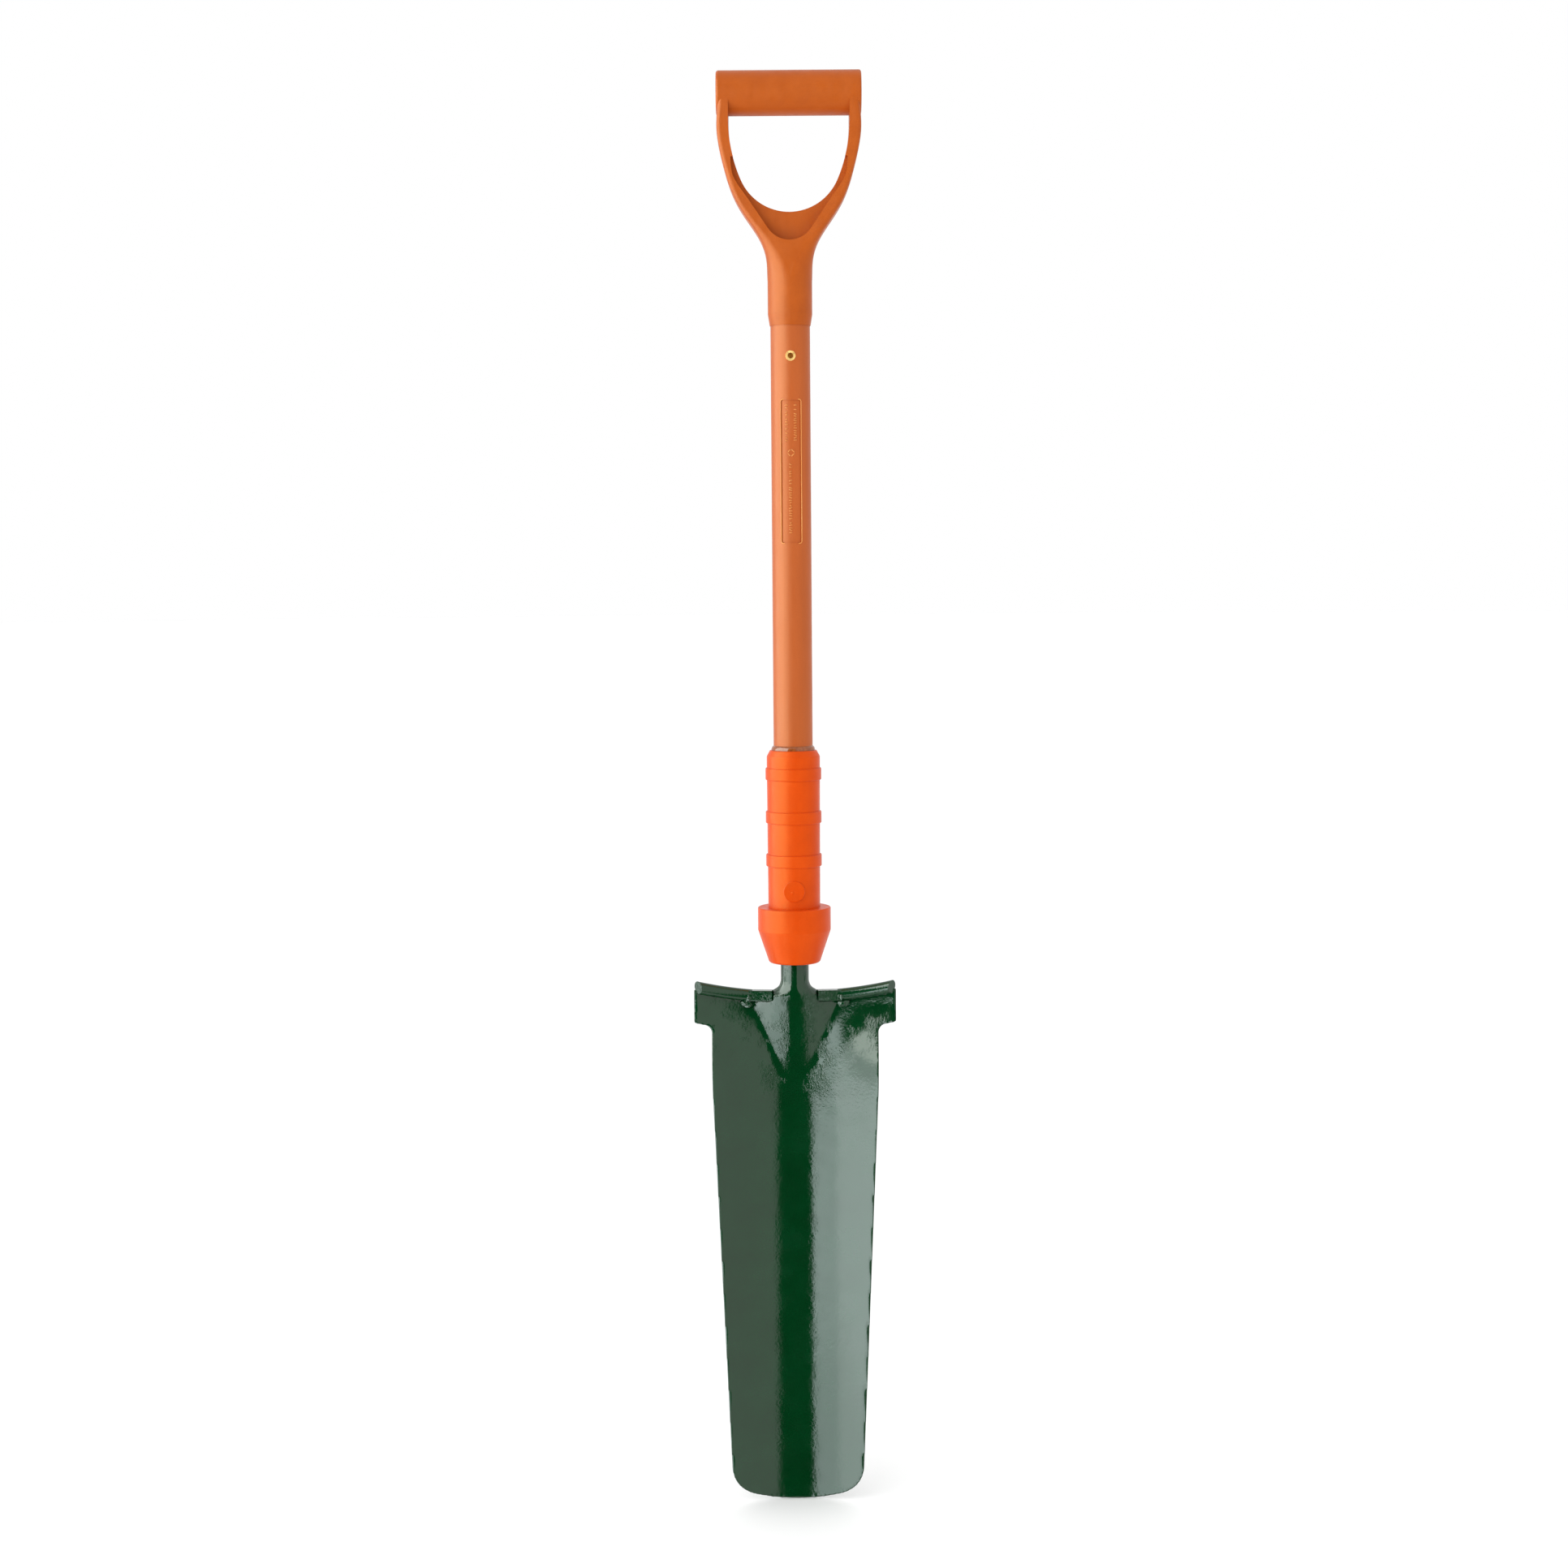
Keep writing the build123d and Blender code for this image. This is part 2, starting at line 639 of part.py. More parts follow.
def tread():
    """Right-hand tread: flat-sided block beside the neck, round bar out to the ear."""
    path = bar_path(bar_start, ear_half + tread_d / 2)
    bar = sweep(Plane(origin=path @ 0, z_dir=path % 0) * Circle(tread_d / 2), path)
    end = Pos(*tread_point(bar_end)) * Rot(0, 0, -tread_end_angle)
    bar -= end * Pos(tread_d, 0, 0) * Box(2 * tread_d, 4 * tread_d, 4 * tread_d)
    inner = Vector(*tread_point(tread_inner, -tread_forward - tread_inner_forward))
    run = Vector(*tread_point(bar_start)) - inner
    section = RectangleRounded(tread_block_height, tread_block_depth, tread_block_edge)
    block_start = Plane(origin=inner, x_dir=(0, 0, 1), z_dir=run)
    return bar + extrude(block_start * section, run.length + tread_block_lap)


def tread_weld():
    """Right-hand bead along the back of the tread."""
    offset = (weld_back, weld_down)
    path = bar_path(bar_start + 2 * weld_r, bar_end - weld_r, *offset)
    bead = sweep(Plane(origin=path @ 0, z_dir=path % 0) * Circle(weld_r), path)
    return bead - tread() - head_forging()


nodes = {
    "d_handle": d_handle(),
    "grip_plug_right": grip_plug(),
    "grip_plug_left": mirrored(grip_plug()),
    "handle_rivet": handle_rivet(),
    "shaft_sheath": shaft_sheath(),
    "shaft_core": shaft_core(),
    "core_foam": core_foam(),
    "core_bung": core_bung(),
    "cross_rivet": cross_rivet(),
    "sleeve_plug_front": sleeve_plug_front(),
    "sleeve_plug_rear": mirror(sleeve_plug_front(), Plane.XZ),
    "insulating_sleeve": insulating_sleeve(),
    "top_seal": top_seal(),
    "guard_collar": guard_collar(),
    "neck_potting": neck_potting(),
    "head_forging": head_forging(),
    "tread_right": tread(),
    "tread_left": mirrored(tread()),
    "tread_weld_right": tread_weld(),
    "tread_weld_left": mirrored(tread_weld()),
}

for name, piece in nodes.items():
    export_step(piece, f"parts/{name}.step")
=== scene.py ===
import math

import bmesh
import bpy
import mathutils
import numpy as np
from mathutils import Matrix, Vector


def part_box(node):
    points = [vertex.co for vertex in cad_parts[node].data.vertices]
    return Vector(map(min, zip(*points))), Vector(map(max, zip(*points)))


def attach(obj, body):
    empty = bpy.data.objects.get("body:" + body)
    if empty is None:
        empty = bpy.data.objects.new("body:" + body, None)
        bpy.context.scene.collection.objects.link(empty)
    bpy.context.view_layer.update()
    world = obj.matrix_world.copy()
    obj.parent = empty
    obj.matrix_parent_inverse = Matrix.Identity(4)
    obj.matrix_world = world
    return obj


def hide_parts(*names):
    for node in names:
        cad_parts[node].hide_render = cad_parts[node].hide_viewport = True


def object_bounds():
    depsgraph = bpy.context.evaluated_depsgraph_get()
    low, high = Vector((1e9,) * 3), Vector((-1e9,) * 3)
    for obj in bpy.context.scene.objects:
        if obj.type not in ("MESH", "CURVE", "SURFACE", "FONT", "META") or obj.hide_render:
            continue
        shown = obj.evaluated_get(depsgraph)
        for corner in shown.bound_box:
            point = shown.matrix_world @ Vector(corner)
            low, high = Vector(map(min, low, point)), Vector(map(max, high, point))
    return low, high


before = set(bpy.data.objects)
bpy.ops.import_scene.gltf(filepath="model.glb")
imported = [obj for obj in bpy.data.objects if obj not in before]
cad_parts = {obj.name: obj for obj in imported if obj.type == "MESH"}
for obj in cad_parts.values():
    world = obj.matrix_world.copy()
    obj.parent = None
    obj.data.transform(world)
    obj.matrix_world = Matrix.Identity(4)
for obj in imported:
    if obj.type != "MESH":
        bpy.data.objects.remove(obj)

# Insulated, treaded draining spade. Metres, in the frame of the CAD: the origin is the
# centre of the grip bar, the blade hangs towards -Z, its hollow face looks towards -Y.

cad_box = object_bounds()
scene = bpy.context.scene
MM = 0.001

# ---- places read from the CAD nodes ----
SHAFT_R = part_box("shaft_sheath")[1].x
plug_low, plug_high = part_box("sleeve_plug_front")
shoulder_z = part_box("tread_right")[0].z + 5.52 * MM  # the treads hang this far under it

# ---- painted head ----
HEAD_VOXEL = 1.1 * MM
CREASE_STEP = 0.03 * MM  # hollow of one voxel that counts as a crease
BOSS_LENGTH = 78 * MM
BOSS_TOP = 10 * MM       # shoulders to where the creases beside the boss are softened
BOSS_FILLET = 10 * MM    # reach of that softening
BOSS_ROUNDS = 140
BROAD_TOP = 30 * MM      # shoulders to where the broad faces are fully smoothed
BROAD_ROUNDS = 24

# ---- recessed panel and its raised marks ----
PANEL_TOP = -237.2 * MM
PANEL_LENGTH = 111.0 * MM
PANEL_WIDTH = 15.3 * MM
PANEL_DEPTH = 0.8 * MM
PANEL_CORNER = 1.5 * MM
RIM_WIDTH = 0.9 * MM
RIM_PROUD = 0.38 * MM
MARK_WIDTH = 0.9 * MM
MARK_FOOT = -0.1 * MM    # the marks start this far inside the panel's floor
MARK_PROUD = 0.5 * MM
MARK_INSET = 0.45        # share of a mark's width that its sloping sides take
MARK_LENGTHS = (2.0, 3.0)  # mm, shortest and longest
MARK_SLANT = 28          # degrees either way
MARK_GAPS = [1.7, 1.9, 2.2, 3.4]  # mm from one mark to the next
LOZENGE_DROP = 41 * MM   # panel's top to the lozenge's middle
LOZENGE_HALF = 3.0 * MM
# across, first and last drop under the panel's top
MARK_ROWS = [
    (-3.6 * MM, 4 * MM, 32 * MM),
    (3.4 * MM, 4 * MM, 32 * MM),
    (-0.6 * MM, 50 * MM, 106 * MM),
]

# ---- welds in front of the treads, gate marks on the plugs ----
WELD_HALF = 36.5 * MM    # shaft's axis to where a tread's block turns into its bar
tread_axis_z = shoulder_z - 0.8 * MM
tread_front_y = -8.3 * MM
# along the tread, back from the block's front, under the axis, half sizes
WELD_LUMPS = [
    (0.0, 1.6 * MM, 0.6 * MM, (2.6 * MM, 2.4 * MM, 3.4 * MM)),
    (1.5 * MM, 3.2 * MM, 6.4 * MM, (4.6 * MM, 2.6 * MM, 3.0 * MM)),
]
WELD_ROUGH, GATE_ROUGH = 0.35, 0.3  # how uneven the lumps are
GATE_SIZE = (1.3 * MM, 0.3 * MM, 1.3 * MM)
GATE_ACROSS = -1.6 * MM
GATE_DROP = 1.0 * MM     # plug's middle to the gate's

# ---- camera ----
VIEW_PITCH = math.radians(5.0)
VIEW_ROLL = math.radians(0.43)
VIEW_DISTANCE = 2.1285
VIEW_AIM = Vector((-0.0075, 0.0, -0.539))
LENS, SENSOR = 61.5, 36.0  # millimetres

# ---- studio ----
COOL, WARM, LIME, WHITE = (0.88, 1, 1), (1, 0.84, 0.84), (0.92, 1, 0.94), (1, 1, 1)
LOW, FOOT, KNEE, WAIST, HIGH = -3.5, -1.6, -1.12, -0.90, 1.6
# Upright soft boxes that only the gloss sees, all on a ring round the shaft: azimuths of
# their two edges in degrees from the camera's side, heights, radiance, colour
SOFT_BOXES = [
    ("foot_left_near", -12.3, -32, LOW, FOOT, 4.8, COOL),
    ("foot_left_far", -32, -108, LOW, FOOT, 4.8, COOL),
    ("low_left_near", -12.3, -32, FOOT, KNEE, 6.0, COOL),
    ("low_left_far", -32, -108, FOOT, KNEE, 6.0, COOL),
    ("middle_left", -31, -108, KNEE, WAIST, 3.2, COOL),
    ("high_left", -29, -108, WAIST, HIGH, 6.3, LIME),
    ("right", 15, 75, LOW, HIGH, 0.25, WARM),
]
SOFT_BOX_RING = 2.0
# ring, azimuths of the edges, heights
KEY_RING, KEY_EDGES, KEY_HEIGHTS, KEY_RADIANCE = 2.2, (-10, -85), (-0.9, 0.9), 1.4
DARK_RING, DARK_EDGES, DARK_HEIGHTS = 2.4, (-30, 14), (-4.0, 2.0)
FLOOR_GAP = 0.5 * MM
FLOOR_RADIUS = 30.0
FLOOR_SIDES = 64


# ---------------------------------------------------------------- small helpers
class Nodes:
    """Short way to write a node tree."""

    def __init__(self, name):
        self.material = bpy.data.materials.new(name)
        self.material.use_nodes = True
        self.tree = self.material.node_tree
        self.tree.nodes.clear()
        self.out = self.add("ShaderNodeOutputMaterial")
        self.shader = self.add("ShaderNodeBsdfPrincipled")
        self.link(self.shader, "BSDF", self.out, "Surface")
        self.place = self.add("ShaderNodeTexCoord")

    def add(self, kind, **settings):
        node = self.tree.nodes.new(kind)
        for key, value in settings.items():
            setattr(node, key, value)
        return node

    def link(self, a, a_out, b, b_in):
        self.tree.links.new(a.outputs[a_out], b.inputs[b_in])

    def mapped(self, scale):
        node = self.add("ShaderNodeMapping")
        node.inputs["Scale"].default_value = scale
        self.link(self.place, "Object", node, "Vector")
        return node

    def noise(self, size, detail=3.0, rough=0.5, stretch=(1, 1, 1), distortion=0.0):
        """Noise with features of a size in metres, stretched along an axis."""
        where = self.mapped([1 / (size * s) for s in stretch])
        node = self.add("ShaderNodeTexNoise")
        node.inputs["Scale"].default_value = 1.0
        node.inputs["Detail"].default_value = detail
        node.inputs["Roughness"].default_value = rough
        node.inputs["Distortion"].default_value = distortion
        self.link(where, "Vector", node, "Vector")
        return node

    def ramp(self, source, source_out, stops):
        """Colour ramp from (place, colour) stops."""
        node = self.add("ShaderNodeValToRGB")
        ramp = node.color_ramp
        while len(ramp.elements) < len(stops):
            ramp.elements.new(0.5)
        for element, (place, colour) in zip(ramp.elements, stops):
            element.position = place
            element.color = (*colour, 1.0)
        self.link(source, source_out, node, "Fac")
        return node

    def span(self, source, source_out, low, high, to_low=0.0, to_high=1.0, smooth=True):
        """Value that goes from to_low to to_high as the source goes from low to high."""
        node = self.add("ShaderNodeMapRange")
        if smooth:
            node.interpolation_type = "SMOOTHSTEP"
        for key, value in (
            ("From Min", low), ("From Max", high), ("To Min", to_low), ("To Max", to_high)
        ):
            node.inputs[key].default_value = value
        self.link(source, source_out, node, "Value")
        return node

    def maths(self, operation, a, b):
        """Arithmetic on two (node, output) pairs or numbers."""
        node = self.add("ShaderNodeMath", operation=operation)
        for socket, value in zip(node.inputs, (a, b)):
            if isinstance(value, tuple):
                self.tree.links.new(value[0].outputs[value[1]], socket)
            else:
                socket.default_value = value
        return node

    def mix(self, share, a, b, blend="MIX"):
        """Colour mix; each of the three is a (node, output) pair or a value."""
        node = self.add("ShaderNodeMix", data_type="RGBA", blend_type=blend)
        for socket, value in ((node.inputs[0], share), (node.inputs[6], a), (node.inputs[7], b)):
            if isinstance(value, tuple) and isinstance(value[0], bpy.types.Node):
                self.tree.links.new(value[0].outputs[value[1]], socket)
            elif isinstance(value, tuple):
                socket.default_value = (*value, 1.0)
            else:
                socket.default_value = value
        return node

    def bumps(self, *layers):
        """Bump layers, each (node, output, strength, height in metres)."""
        below = None
        for source, output, strength, height in layers:
            node = self.add("ShaderNodeBump")
            if isinstance(strength, tuple):
                self.tree.links.new(strength[0].outputs[strength[1]], node.inputs["Strength"])
            else:
                node.inputs["Strength"].default_value = strength
            node.inputs["Distance"].default_value = height
            self.link(source, output, node, "Height")
            if below is not None:
                self.link(below, "Normal", node, "Normal")
            below = node
        self.link(below, "Normal", self.shader, "Normal")


def moulded(name, colour, dark, light, rough, grain=0.0005, grain_height=0.00004,
            streak=(1, 1, 1), wear=0.25, specular=0.3, tint=(0.65, 1.0, 0.72)):
    """Moulded polymer: fine grain, slow colour drift, scuffs that change the gloss."""
    m = Nodes(name)
    drift = m.noise(0.018, 4.0, 0.6, streak)
    tone = m.ramp(drift, "Fac", [(0.28, dark), (0.5, colour), (0.74, light)])
    speck = m.noise(0.0011, 2.0, 0.5)
    speck_tone = m.ramp(speck, "Fac", [(0.3, (0.86, 0.86, 0.86)), (0.55, (1, 1, 1))])
    tinted = m.mix(wear, (tone, "Color"), (speck_tone, "Color"), "MULTIPLY")
    m.link(tinted, 2, m.shader, "Base Color")
    scuff = m.noise(0.006, 5.0, 0.65, (1, 1, 3))
    gloss = m.span(scuff, "Fac", 0.25, 0.75, rough - 0.07, rough + 0.08)
    m.link(gloss, "Result", m.shader, "Roughness")
    fine = m.noise(grain, 2.0, 0.6)
    slow = m.noise(0.007, 3.0, 0.5, streak)
    m.bumps((slow, "Fac", 0.25, 0.00025), (fine, "Fac", 0.5, grain_height))
    m.shader.inputs["Specular IOR Level"].default_value = specular
    m.shader.inputs["Specular Tint"].default_value = (*tint, 1.0)
    return m


def painted():
    """Thick gloss paint over a hot forging: orange peel everywhere, wrinkled near the neck."""
    m = Nodes("green_paint")
    split = m.add("ShaderNodeSeparateXYZ")
    m.link(m.place, "Object", split, "Vector")
    drift = m.noise(0.03, 4.0, 0.6)
    tone = m.ramp(drift, "Fac", [
        (0.3, (0.0004, 0.027, 0.0060)),
        (0.5, (0.0006, 0.031, 0.0072)),
        (0.72, (0.0014, 0.036, 0.0098)),
    ])
    m.link(tone, "Color", m.shader, "Base Color")
    smear = m.noise(0.012, 4.0, 0.6)
    gloss = m.span(smear, "Fac", 0.3, 0.7, 0.075, 0.13)
    m.link(gloss, "Result", m.shader, "Roughness")
    m.shader.inputs["IOR"].default_value = 1.5
    peel = m.noise(0.0022, 2.0, 0.45)
    fine = m.noise(0.0008, 2.0, 0.5)
    wrinkles = m.noise(0.0017, 3.0, 0.55, (1, 1, 1.8), 0.8)
    # wrinkles on the neck and the boss, and on the plate where it turns into the ears
    side = m.maths("ABSOLUTE", (split, "X"), 0.0)
    upper = m.span(split, "Z", shoulder_z - 0.095, shoulder_z - 0.060)
    middle = m.span(side, "Value", 0.024, 0.034, 1.0, 0.0)
    beside = m.span(side, "Value", 0.003, 0.008)
    neck = m.maths("MULTIPLY", (upper, "Result"), (middle, "Result"))
    neck = m.maths("MULTIPLY", (neck, "Value"), (beside, "Result"))
    ear_low = m.span(split, "Z", shoulder_z - 0.062, shoulder_z - 0.040)
    ear_high = m.span(split, "Z", shoulder_z - 0.026, shoulder_z - 0.012, 1.0, 0.15)
    outer = m.span(side, "Value", 0.030, 0.046)
    ear = m.maths("MULTIPLY", (ear_low, "Result"), (ear_high, "Result"))
    ear = m.maths("MULTIPLY", (ear, "Value"), (outer, "Result"))
    both = m.maths("MAXIMUM", (neck, "Value"), (ear, "Value"))
    patch = m.noise(0.016, 3.0, 0.6)
    broken = m.span(patch, "Fac", 0.46, 0.60, 0.05, 1.0)
    share = m.maths("MULTIPLY", (both, "Value"), (broken, "Result"))
    m.bumps(
        (wrinkles, "Fac", (share, "Value"), 0.0006),
        (peel, "Fac", 0.4, 0.00014),
        (fine, "Fac", 0.4, 0.00005),
    )
    return m


def glossy(name, colour, dark, rough, metallic=0.0, size=0.002, height=0.00006):
    """Smooth hard material with small flaws: resin, brass or steel."""
    m = Nodes(name)
    cloud = m.noise(size, 4.0, 0.6)
    tone = m.ramp(cloud, "Fac", [(0.3, dark), (0.7, colour)])
    m.link(tone, "Color", m.shader, "Base Color")
    haze = m.noise(size * 0.6, 4.0, 0.6)
    gloss = m.span(haze, "Fac", 0.3, 0.7, rough * 0.7, rough * 1.4)
    m.link(gloss, "Result", m.shader, "Roughness")
    m.bumps((cloud, "Fac", 0.4, height))
    m.shader.inputs["Metallic"].default_value = metallic
    return m


def dress(material, *names):
    """Gives CAD nodes a material."""
    for name in names:
        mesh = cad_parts[name].data
        mesh.materials.clear()
        mesh.materials.append(material)


# ---------------------------------------------------------------- materials
handle_plastic = moulded(
    "handle_plastic", (0.445, 0.0780, 0.0022), (0.415, 0.070, 0.002), (0.475, 0.087, 0.004), 0.40,
    specular=0.26,
).material
sheath_plastic = moulded(
    "sheath_plastic", (0.4575, 0.0886, 0.0129), (0.428, 0.080, 0.011), (0.484, 0.098, 0.016), 0.40,
    streak=(1, 1, 8), specular=0.32,
).material
sleeve_plastic = moulded(
    "sleeve_plastic", (0.645, 0.054, 0.0005), (0.610, 0.049, 0.0004), (0.675, 0.061, 0.001), 0.36,
    specular=0.24, tint=(0.55, 1.0, 0.34),
).material
# Lighter, yellower copy of the sleeve's orange for the panel's raised rim and marks: a painted
# highlight on them
painted_highlight_plastic = moulded(
    "painted_highlight_plastic", (0.640, 0.210, 0.045), (0.560, 0.160, 0.030), (0.720, 0.270, 0.070), 0.36,
    streak=(1, 1, 3), specular=0.4,
).material
seal_resin = glossy("seal_resin", (0.34, 0.095, 0.020), (0.20, 0.045, 0.010), 0.10).material
potting_resin = glossy("potting_resin", (0.12, 0.020, 0.006), (0.05, 0.010, 0.004), 0.35).material
green_paint = painted().material
rivet_brass = glossy(
    "rivet_brass", (0.95, 0.66, 0.24), (0.72, 0.42, 0.12), 0.42, 0.55, 0.0015
).material
rivet_steel = glossy("rivet_steel", (0.45, 0.45, 0.44), (0.25, 0.24, 0.23), 0.35, 1.0).material
glass_fibre = glossy("glass_fibre", (0.55, 0.52, 0.36), (0.40, 0.38, 0.26), 0.4).material
foam_fill = glossy("foam_fill", (0.70, 0.64, 0.45), (0.50, 0.45, 0.30), 0.8, 0.0, 0.001).material
bung_nylon = glossy("bung_nylon", (0.60, 0.58, 0.52), (0.50, 0.48, 0.42), 0.4).material

dress(handle_plastic, "d_handle", "grip_plug_right", "grip_plug_left")
dress(sheath_plastic, "shaft_sheath")
dress(sleeve_plastic, "insulating_sleeve", "guard_collar", "sleeve_plug_front", "sleeve_plug_rear")
dress(seal_resin, "top_seal")
dress(potting_resin, "neck_potting")
dress(green_paint, "head_forging", "tread_right", "tread_left", "tread_weld_right", "tread_weld_left")
dress(rivet_brass, "handle_rivet")
dress(rivet_steel, "cross_rivet")
dress(glass_fibre, "shaft_core")
dress(foam_fill, "core_foam")
dress(bung_nylon, "core_bung")


# ---------------------------------------------------------------- painted head
def new_piece(name, mesh, material):
    """New visible piece: smooth shaded, riding on the tool."""
    mesh.name = name
    mesh.materials.clear()
    mesh.materials.append(material)
    mesh.polygons.foreach_set("use_smooth", [True] * len(mesh.polygons))
    body = bpy.data.objects.new(name, mesh)
    scene.collection.objects.link(body)
    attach(body, "root")
    return body


def remeshed(node, voxel):
    """Copy of a CAD node's mesh with even quads."""
    body = bpy.data.objects.new("remesh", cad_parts[node].data.copy())
    scene.collection.objects.link(body)
    change = body.modifiers.new("even", "REMESH")
    change.mode = "VOXEL"
    change.voxel_size = voxel
    graph = bpy.context.evaluated_depsgraph_get()
    mesh = bpy.data.meshes.new_from_object(body.evaluated_get(graph))
    bpy.data.objects.remove(body)
    return mesh


def points_of(mesh):
    co = np.empty(len(mesh.vertices) * 3, np.float32)
    mesh.vertices.foreach_get("co", co)
    return co.reshape(-1, 3).astype(float)


def normals_of(mesh):
    n = np.empty(len(mesh.vertices) * 3, np.float32)
    mesh.vertex_normals.foreach_get("vector", n)
    return n.reshape(-1, 3).astype(float)


class Links:
    """Neighbour averages over a mesh's edges."""

    def __init__(self, mesh):
        pairs = np.empty(len(mesh.edges) * 2, np.int32)
        mesh.edges.foreach_get("vertices", pairs)
        self.a, self.b = pairs.reshape(-1, 2).T
        self.size = len(mesh.vertices)
        self.count = np.bincount(self.a, minlength=self.size) + np.bincount(
            self.b, minlength=self.size
        )

    def mean(self, values):
        total = np.empty_like(values)
        for axis in range(values.shape[1]):
            column = values[:, axis]
            total[:, axis] = np.bincount(self.a, column[self.b], self.size)
            total[:, axis] += np.bincount(self.b, column[self.a], self.size)
        return total / self.count[:, None]

    def relax(self, co, weight, rounds):
        for _ in range(rounds):
            co = co + weight[:, None] * 0.5 * (self.mean(co) - co)
        return co


def smoothstep(x, low, high):
    t = np.clip((x - low) / (high - low), 0, 1)
    return t * t * (3 - 2 * t)


def nearness(co, seeds, reach):
    """1 at the seed points, 0 further than reach from all of them."""
    tree = mathutils.kdtree.KDTree(len(seeds))
    for index, point in enumerate(seeds):
        tree.insert(point, index)
    tree.balance()
    low, high = seeds.min(0) - reach, seeds.max(0) + reach
    near = np.zeros(len(co))
    for index in np.nonzero(((co > low) & (co < high)).all(1))[0]:
        near[index] = max(0.0, 1 - tree.find(co[index])[2] / reach)
    return near


def painted_head():
    """The forging with the soft hollows and blunt edges that forging and thick paint give it."""
    mesh = remeshed("head_forging", HEAD_VOXEL)
    links = Links(mesh)
    co = points_of(mesh)
    co = links.relax(co, np.ones(len(co)), 2)
    broad = smoothstep(np.abs(normals_of(mesh)[:, 1]), 0.75, 0.9)
    broad *= smoothstep(co[:, 2], shoulder_z, shoulder_z - BROAD_TOP)
    co = links.relax(co, broad, BROAD_ROUNDS)
    step = links.mean(co) - co
    hollow = np.einsum("ij,ij->i", step, normals_of(mesh))
    z_top, z_low = shoulder_z - BOSS_TOP, shoulder_z - BOSS_LENGTH - 4 * MM
    crease = (hollow > CREASE_STEP) & (co[:, 2] < z_top) & (co[:, 2] > z_low)
    near = nearness(co, co[crease], BOSS_FILLET)
    weight = smoothstep(near, 0.0, 0.45) * smoothstep(co[:, 2], z_top + 4 * MM, z_top)
    co = links.relax(co, weight, BOSS_ROUNDS)
    mesh.vertices.foreach_set("co", co.astype(np.float32).ravel())
    mesh.update()
    body = new_piece("painted_head", mesh, green_paint)
    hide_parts("head_forging")


# ---------------------------------------------------------------- raised marks in the panel
class Shell:
    """Collects points and faces of small raised shapes on a round shaft."""

    def __init__(self, radius):
        self.radius, self.points, self.faces = radius, [], []

    def place(self, across, height, proud):
        """Point at an arc length from the front line, at a height, above the surface."""
        angle = across / self.radius
        reach = self.radius + proud
        return (reach * math.sin(angle), -reach * math.cos(angle), height)

    def pad(self, outline, foot, crown, inset):
        """Pad with sloping sides over a closed (across, height) outline."""
        middle = np.mean(outline, axis=0)
        rings = []
        for share, proud in ((1.0, foot), (1.0 - inset * 0.35, crown * 0.7), (1.0 - inset, crown)):
            start = len(self.points)
            for point in outline:
                across, height = middle + (np.array(point) - middle) * share
                self.points.append(self.place(across, height, proud))
            rings.append(range(start, start + len(outline)))
        self.join(rings)
        self.faces.append(tuple(rings[-1]))
        self.faces.append(tuple(reversed(rings[0])))

    def join(self, rings, closed=False):
        pairs = list(zip(rings, rings[1:]))
        if closed:
            pairs.append((rings[-1], rings[0]))
        for low, high in pairs:
            for i in range(len(low)):
                j = (i + 1) % len(low)
                self.faces.append((low[i], low[j], high[j], high[i]))

    def mesh(self, name):
        mesh = bpy.data.meshes.new(name)
        mesh.from_pydata(self.points, [], self.faces)
        mesh.update()
        work = bmesh.new()
        work.from_mesh(mesh)
        bmesh.ops.recalc_face_normals(work, faces=work.faces)
        work.to_mesh(mesh)
        work.free()
        return mesh


def stroke(across, height, length, width, slant):
    """Outline of a short round-ended bar."""
    outline = []
    for end, start in ((1, -90), (-1, 90)):
        for step in range(5):
            a = math.radians(start + 45 * step)
            along = end * (length - width) / 2 + width / 2 * math.cos(a)
            side = width / 2 * math.sin(a)
            outline.append((
                across + along * math.cos(slant) - side * math.sin(slant),
                height + along * math.sin(slant) + side * math.cos(slant),
            ))
    return outline


def panel_marks():
    """Rows of plain raised dashes, which carry no text, on the floor of the recessed panel."""
    random = np.random.default_rng(7)
    shell = Shell(SHAFT_R - PANEL_DEPTH)
    for across, top, low in MARK_ROWS:
        height = PANEL_TOP - top
        while height > PANEL_TOP - low:
            slant = math.radians(random.uniform(-MARK_SLANT, MARK_SLANT))
            length = random.uniform(*MARK_LENGTHS) * MM
            outline = stroke(across, height, length, MARK_WIDTH, slant)
            shell.pad(outline, MARK_FOOT, MARK_PROUD, MARK_INSET)
            height -= random.choice(MARK_GAPS) * MM
    height = PANEL_TOP - LOZENGE_DROP
    half = LOZENGE_HALF
    corners = [(half, 0), (0, half), (-half, 0), (0, -half)]
    for (xa, za), (xb, zb) in zip(corners, corners[1:] + corners[:1]):
        slant = math.atan2(zb - za, xb - xa)
        side = math.hypot(xb - xa, zb - za) * 0.86
        outline = stroke((xa + xb) / 2, height + (za + zb) / 2, side, MARK_WIDTH, slant)
        shell.pad(outline, MARK_FOOT, MARK_PROUD, MARK_INSET)
    # the marks take the lighter, yellower orange: a painted highlight
    new_piece("panel_marks", shell.mesh("panel_marks"), painted_highlight_plastic)


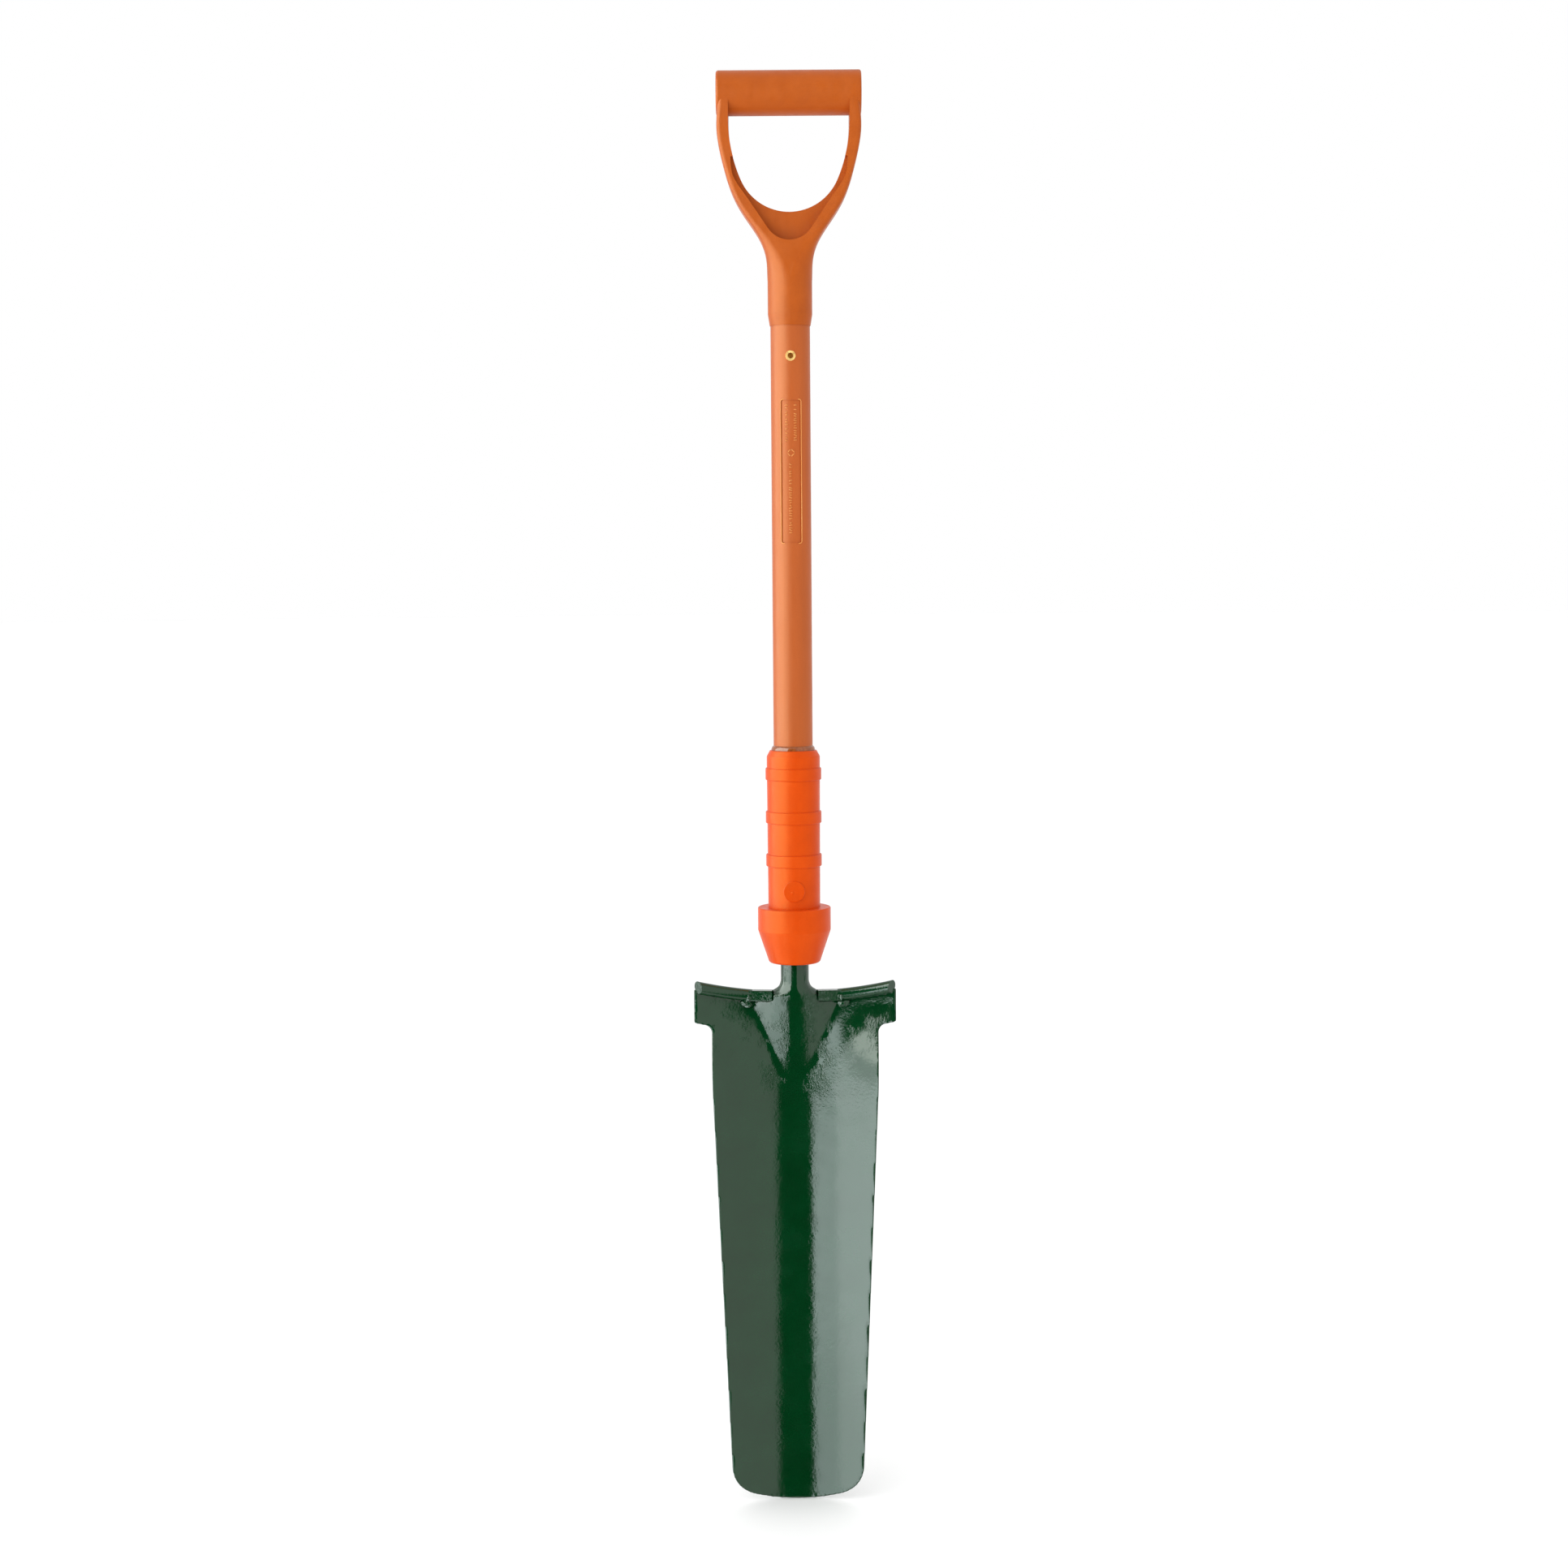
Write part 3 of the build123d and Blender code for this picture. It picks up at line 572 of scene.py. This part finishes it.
def panel_rim():
    """Fine raised bead round the recessed panel."""
    shell = Shell(SHAFT_R)
    half, corner = PANEL_WIDTH / 2, PANEL_CORNER
    arc_half = SHAFT_R * math.asin(half / SHAFT_R)
    low, high = PANEL_TOP - PANEL_LENGTH, PANEL_TOP
    path = []
    for (x, z), start in (
        ((arc_half - corner, high - corner), 0), ((corner - arc_half, high - corner), 90),
        ((corner - arc_half, low + corner), 180), ((arc_half - corner, low + corner), 270),
    ):
        for step in range(7):
            a = math.radians(start + 15 * step)
            path.append((x + corner * math.cos(a), z + corner * math.sin(a), math.cos(a), math.sin(a)))
    rings = []
    for x, z, out_x, out_z in path:
        start = len(shell.points)
        for step in range(6):
            a = math.radians(60 * step)
            out = RIM_WIDTH / 2 * (1 + math.cos(a))
            shell.points.append(shell.place(x + out * out_x, z + out * out_z, RIM_PROUD * math.sin(a)))
        rings.append(range(start, start + 6))
    shell.join(rings, closed=True)
    # the bead takes the lighter, yellower orange: a painted highlight
    new_piece("panel_rim", shell.mesh("panel_rim"), painted_highlight_plastic)


# ---------------------------------------------------------------- welds and gate marks
def lump(name, middle, size, seed, rough, material):
    """Uneven solid blob: a rounded ball pushed about by noise."""
    work = bmesh.new()
    bmesh.ops.create_icosphere(work, subdivisions=4, radius=1.0)
    offset = Vector((seed * 3.1, seed * 1.7, seed * 2.3))
    for vert in work.verts:
        swell = 1 + rough * mathutils.noise.fractal(vert.co * 1.6 + offset, 1.0, 2.0, 3)
        vert.co = Vector(c * s * swell for c, s in zip(vert.co, size)) + Vector(middle)
    mesh = bpy.data.meshes.new(name)
    work.to_mesh(mesh)
    work.free()
    new_piece(name, mesh, material)


def front_welds():
    """Blobs of weld where each tread's block turns into its bar."""
    for side, label in ((1, "right"), (-1, "left")):
        for index, (along, back, down, size) in enumerate(WELD_LUMPS):
            middle = (side * (WELD_HALF + along), tread_front_y + back, tread_axis_z - down)
            lump(f"front_weld_{label}_{index + 1}", middle, size, index + side, WELD_ROUGH,
                 green_paint)


def gate_marks():
    """Small cropped gate left by moulding on each sleeve plug."""
    z = (plug_low.z + plug_high.z) / 2
    for label, y in (("front", plug_low.y), ("rear", -plug_low.y)):
        middle = (GATE_ACROSS, y, z - GATE_DROP)
        lump(f"gate_mark_{label}", middle, GATE_SIZE, 2, GATE_ROUGH,
             sleeve_plastic)


panel_marks()
panel_rim()
front_welds()
gate_marks()
painted_head()

# ---------------------------------------------------------------- camera and studio
def aim_axes(forward, roll):
    """Rotation of a camera or light that looks along forward, turned about it."""
    return forward.to_track_quat("-Z", "Y") @ Matrix.Rotation(-roll, 3, "Z").to_quaternion()


def camera():
    forward = Vector((0, math.cos(VIEW_PITCH), -math.sin(VIEW_PITCH)))
    data = bpy.data.cameras.new("camera")
    data.sensor_width = SENSOR
    data.lens = LENS
    body = bpy.data.objects.new("camera", data)
    scene.collection.objects.link(body)
    body.location = VIEW_AIM - forward * VIEW_DISTANCE
    body.rotation_mode = "QUATERNION"
    body.rotation_quaternion = aim_axes(forward, VIEW_ROLL)
    scene.camera = body


def soft_box(name, near, far, low, high, radiance, colour, diffuse, gloss):
    """Upright light between two (x, y) edges, facing the shaft, out of the camera's sight."""
    a, b = Vector((*near, 0)), Vector((*far, 0))
    width, height = (b - a).length, high - low
    middle = (a + b) / 2 + Vector((0, 0, (low + high) / 2))
    data = bpy.data.lights.new(name, "AREA")
    data.shape = "RECTANGLE"
    data.size, data.size_y = width, height
    data.color = colour
    data.energy = radiance * math.pi * width * height
    body = bpy.data.objects.new(name, data)
    scene.collection.objects.link(body)
    along = (b - a).normalized()
    normal = along.cross(Vector((0, 0, 1)))
    if normal.dot(middle) > 0:
        normal = -normal
    body.location = middle
    body.rotation_mode = "QUATERNION"
    body.rotation_quaternion = normal.to_track_quat("-Z", "Y")
    body.visible_camera = False
    body.visible_diffuse = diffuse
    body.visible_glossy = gloss


def on_ring(azimuth, radius):
    """Point at an azimuth from the camera's side, positive to the right."""
    a = math.radians(azimuth)
    return (radius * math.sin(a), -radius * math.cos(a))


def studio():
    world = bpy.data.worlds.new("studio")
    world.use_nodes = True
    world.node_tree.nodes["Background"].inputs["Color"].default_value = (1, 1, 1, 1)
    world.node_tree.nodes["Background"].inputs["Strength"].default_value = 1.0
    scene.world = world
    scene.view_settings.view_transform = "Standard"
    for name, first, last, low, high, radiance, colour in SOFT_BOXES:
        near, far = on_ring(first, SOFT_BOX_RING), on_ring(last, SOFT_BOX_RING)
        soft_box(name, near, far, low, high, radiance, colour, diffuse=False, gloss=True)
    near, far = [on_ring(azimuth, KEY_RING) for azimuth in KEY_EDGES]
    soft_box("key_left", near, far, *KEY_HEIGHTS, KEY_RADIANCE, WHITE, diffuse=True, gloss=False)


def pale(name, colour):
    m = Nodes(name)
    cloud = m.noise(0.4, 3.0)
    tone = m.ramp(cloud, "Fac", [(0.3, colour), (0.7, [c * 0.985 for c in colour])])
    m.link(tone, "Color", m.shader, "Base Color")
    m.shader.inputs["Roughness"].default_value = 0.9
    m.shader.inputs["Emission Color"].default_value = (1, 1, 1, 1)
    m.shader.inputs["Emission Strength"].default_value = 0.08
    return m.material


def flat_mesh(name, corners, material):
    mesh = bpy.data.meshes.new(name)
    mesh.from_pydata(corners, [], [tuple(range(len(corners)))])
    mesh.materials.append(material)
    body = bpy.data.objects.new(name, mesh)
    scene.collection.objects.link(body)
    return body


def floor():
    z = cad_box[0].z - FLOOR_GAP
    angles = [2 * math.pi * i / FLOOR_SIDES for i in range(FLOOR_SIDES)]
    corners = [(FLOOR_RADIUS * math.cos(a), FLOOR_RADIUS * math.sin(a), z) for a in angles]
    body = flat_mesh("floor", corners, pale("floor_white", (0.94, 0.94, 0.94)))
    body.visible_glossy = False


def dark_side():
    """The unlit side of the studio behind the camera, seen only in the gloss."""
    m = Nodes("dark_side")
    m.shader.inputs["Base Color"].default_value = (0.0, 0.0, 0.0, 1)
    m.shader.inputs["Roughness"].default_value = 1.0
    m.shader.inputs["Specular IOR Level"].default_value = 0.0
    near, far = [on_ring(azimuth, DARK_RING) for azimuth in DARK_EDGES]
    low, high = DARK_HEIGHTS
    corners = [(*near, low), (*far, low), (*far, high), (*near, high)]
    body = flat_mesh("dark_side", corners, m.material)
    body.visible_camera = False
    body.visible_diffuse = False
    body.visible_shadow = False


camera()
studio()
floor()
dark_side()
